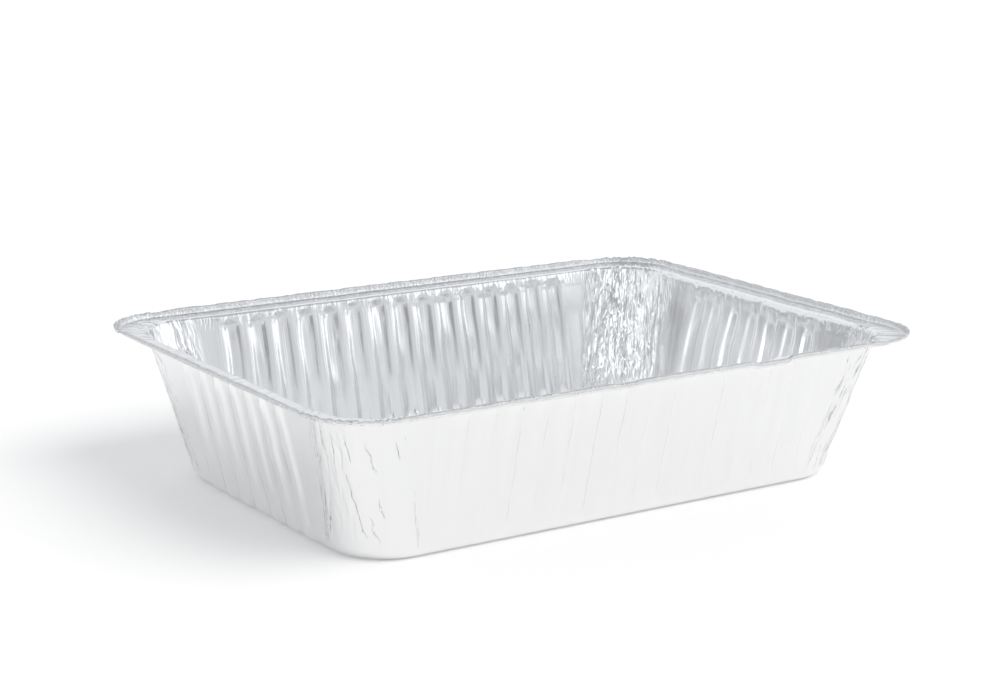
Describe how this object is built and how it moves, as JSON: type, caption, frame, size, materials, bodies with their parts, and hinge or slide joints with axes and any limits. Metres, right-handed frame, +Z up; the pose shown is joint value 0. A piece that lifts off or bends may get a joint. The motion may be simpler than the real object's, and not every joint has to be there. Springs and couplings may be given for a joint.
{
  "type": "aluminium foil tray",
  "caption": "Deep rectangular food tray pressed from thin foil, with sloping fluted walls, gathered corners, a flat ledge and a rolled rim.",
  "frame": {"origin": "middle of the underside of the base, on the surface that the tray stands on", "axes": "+X along the long sides, +Y along the short sides, +Z up out of the open top"},
  "size_m": [0.32, 0.228, 0.071],
  "materials": {
    "foil": "bright soft aluminium foil with fine rolling lines and press creases"
  },
  "bodies": {
    "root": {"foil_tray": "foil"}
  },
  "joints": []
}
